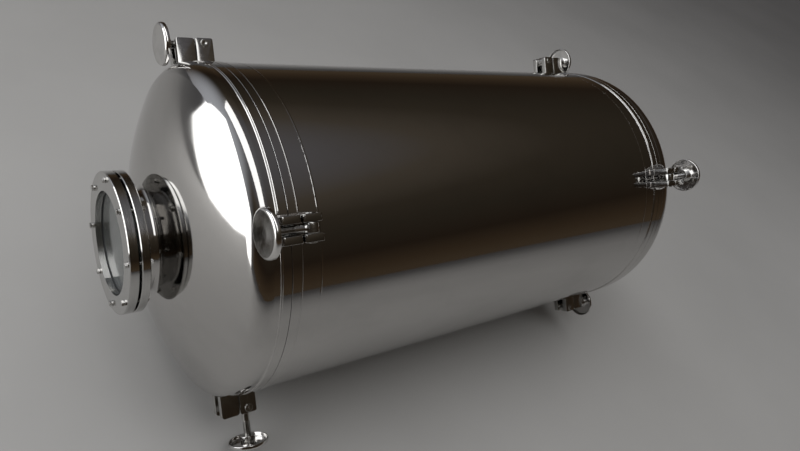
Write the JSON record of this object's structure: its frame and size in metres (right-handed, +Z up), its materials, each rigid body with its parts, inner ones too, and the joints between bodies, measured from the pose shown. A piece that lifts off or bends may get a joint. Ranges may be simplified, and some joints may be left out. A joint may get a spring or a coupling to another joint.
{
  "type": "horizontal pressure tank",
  "caption": "Horizontal polished steel pressure tank on saddles; dished heads with sight glasses are held by swing bolts with wheel nuts.",
  "frame": {"origin": "on the floor, at the centre of the rectangle of anchor holes under the middle of the shell", "axes": "+X along the tank towards its right end, +Y to the rear, +Z up"},
  "size_m": [1.579, 0.7207, 0.7369],
  "materials": {
    "polished_steel": "mirror polished stainless steel",
    "turned_steel": "fine turned stainless steel",
    "wheel_steel": "polished stainless steel",
    "lug_steel": "satin stainless steel",
    "saddle_steel": "satin stainless steel",
    "sight_pane": "clear tempered glass",
    "seal_rubber": "matt black"
  },
  "bodies": {
    "tank": {"shell": "polished_steel", "left_shell_flange": "polished_steel", "right_shell_flange": "polished_steel", "left_flange_gasket": "seal_rubber", "right_flange_gasket": "seal_rubber", "left_head_flange": "polished_steel", "right_head_flange": "polished_steel", "left_dished_head": "polished_steel", "right_dished_head": "polished_steel", "left_sight_neck": "polished_steel", "right_sight_neck": "polished_steel", "left_sight_flange": "turned_steel", "right_sight_flange": "turned_steel", "left_glass_gaskets": "seal_rubber", "right_glass_gaskets": "seal_rubber", "left_sight_glass": "sight_pane", "right_sight_glass": "sight_pane", "left_sight_cover": "turned_steel", "right_sight_cover": "turned_steel", "left_cover_bolts": "lug_steel", "right_cover_bolts": "lug_steel", "left_shell_lugs": "lug_steel", "right_shell_lugs": "lug_steel", "left_head_lugs": "lug_steel", "right_head_lugs": "lug_steel", "left_pivot_pins": "lug_steel", "right_pivot_pins": "lug_steel", "left_saddle": "saddle_steel", "right_saddle": "saddle_steel"},
    "left_upper_rear_swing_bolt": {"left_upper_rear_bolt": "lug_steel"},
    "left_upper_rear_wheel_nut": {"left_upper_rear_wheel": "wheel_steel"},
    "left_upper_front_swing_bolt": {"left_upper_front_bolt": "lug_steel"},
    "left_upper_front_wheel_nut": {"left_upper_front_wheel": "wheel_steel"},
    "left_lower_front_swing_bolt": {"left_lower_front_bolt": "lug_steel"},
    "left_lower_front_wheel_nut": {"left_lower_front_wheel": "wheel_steel"},
    "left_lower_rear_swing_bolt": {"left_lower_rear_bolt": "lug_steel"},
    "left_lower_rear_wheel_nut": {"left_lower_rear_wheel": "wheel_steel"},
    "right_upper_rear_swing_bolt": {"right_upper_rear_bolt": "lug_steel"},
    "right_upper_rear_wheel_nut": {"right_upper_rear_wheel": "wheel_steel"},
    "right_upper_front_swing_bolt": {"right_upper_front_bolt": "lug_steel"},
    "right_upper_front_wheel_nut": {"right_upper_front_wheel": "wheel_steel"},
    "right_lower_front_swing_bolt": {"right_lower_front_bolt": "lug_steel"},
    "right_lower_front_wheel_nut": {"right_lower_front_wheel": "wheel_steel"},
    "right_lower_rear_swing_bolt": {"right_lower_rear_bolt": "lug_steel"},
    "right_lower_rear_wheel_nut": {"right_lower_rear_wheel": "wheel_steel"}
  },
  "joints": [
    {"name": "left_upper_rear_swing", "type": "hinge", "parent": "tank", "child": "left_upper_rear_swing_bolt", "pos_m": [-0.552, 0.27719, 0.66219], "axis": [0, 0.7071, -0.7071], "range_deg": [0, 170]},
    {"name": "left_upper_rear_spin", "type": "hinge", "parent": "left_upper_rear_swing_bolt", "child": "left_upper_rear_wheel_nut", "pos_m": [-0.552, 0.27719, 0.66219], "axis": [-1, 0, 0], "continuous": true},
    {"name": "left_upper_front_swing", "type": "hinge", "parent": "tank", "child": "left_upper_front_swing_bolt", "pos_m": [-0.552, -0.27719, 0.66219], "axis": [0, 0.7071, 0.7071], "range_deg": [0, 170]},
    {"name": "left_upper_front_spin", "type": "hinge", "parent": "left_upper_front_swing_bolt", "child": "left_upper_front_wheel_nut", "pos_m": [-0.552, -0.27719, 0.66219], "axis": [-1, 0, 0], "continuous": true},
    {"name": "left_lower_front_swing", "type": "hinge", "parent": "tank", "child": "left_lower_front_swing_bolt", "pos_m": [-0.552, -0.27719, 0.10781], "axis": [0, -0.7071, 0.7071], "range_deg": [-90, 80]},
    {"name": "left_lower_front_spin", "type": "hinge", "parent": "left_lower_front_swing_bolt", "child": "left_lower_front_wheel_nut", "pos_m": [-0.552, -0.27719, 0.10781], "axis": [0, -0.7071, -0.7071], "continuous": true},
    {"name": "left_lower_rear_swing", "type": "hinge", "parent": "tank", "child": "left_lower_rear_swing_bolt", "pos_m": [-0.552, 0.27719, 0.10781], "axis": [0, -0.7071, -0.7071], "range_deg": [0, 170]},
    {"name": "left_lower_rear_spin", "type": "hinge", "parent": "left_lower_rear_swing_bolt", "child": "left_lower_rear_wheel_nut", "pos_m": [-0.552, 0.27719, 0.10781], "axis": [-1, 0, 0], "continuous": true},
    {"name": "right_upper_rear_swing", "type": "hinge", "parent": "tank", "child": "right_upper_rear_swing_bolt", "pos_m": [0.552, 0.27719, 0.66219], "axis": [0, -0.7071, 0.7071], "range_deg": [0, 170]},
    {"name": "right_upper_rear_spin", "type": "hinge", "parent": "right_upper_rear_swing_bolt", "child": "right_upper_rear_wheel_nut", "pos_m": [0.552, 0.27719, 0.66219], "axis": [1, 0, 0], "continuous": true},
    {"name": "right_upper_front_swing", "type": "hinge", "parent": "tank", "child": "right_upper_front_swing_bolt", "pos_m": [0.552, -0.27719, 0.66219], "axis": [0, -0.7071, -0.7071], "range_deg": [0, 170]},
    {"name": "right_upper_front_spin", "type": "hinge", "parent": "right_upper_front_swing_bolt", "child": "right_upper_front_wheel_nut", "pos_m": [0.552, -0.27719, 0.66219], "axis": [1, 0, 0], "continuous": true},
    {"name": "right_lower_front_swing", "type": "hinge", "parent": "tank", "child": "right_lower_front_swing_bolt", "pos_m": [0.552, -0.27719, 0.10781], "axis": [0, 0.7071, -0.7071], "range_deg": [0, 170]},
    {"name": "right_lower_front_spin", "type": "hinge", "parent": "right_lower_front_swing_bolt", "child": "right_lower_front_wheel_nut", "pos_m": [0.552, -0.27719, 0.10781], "axis": [1, 0, 0], "continuous": true},
    {"name": "right_lower_rear_swing", "type": "hinge", "parent": "tank", "child": "right_lower_rear_swing_bolt", "pos_m": [0.552, 0.27719, 0.10781], "axis": [0, 0.7071, 0.7071], "range_deg": [0, 170]},
    {"name": "right_lower_rear_spin", "type": "hinge", "parent": "right_lower_rear_swing_bolt", "child": "right_lower_rear_wheel_nut", "pos_m": [0.552, 0.27719, 0.10781], "axis": [1, 0, 0], "continuous": true}
  ]
}
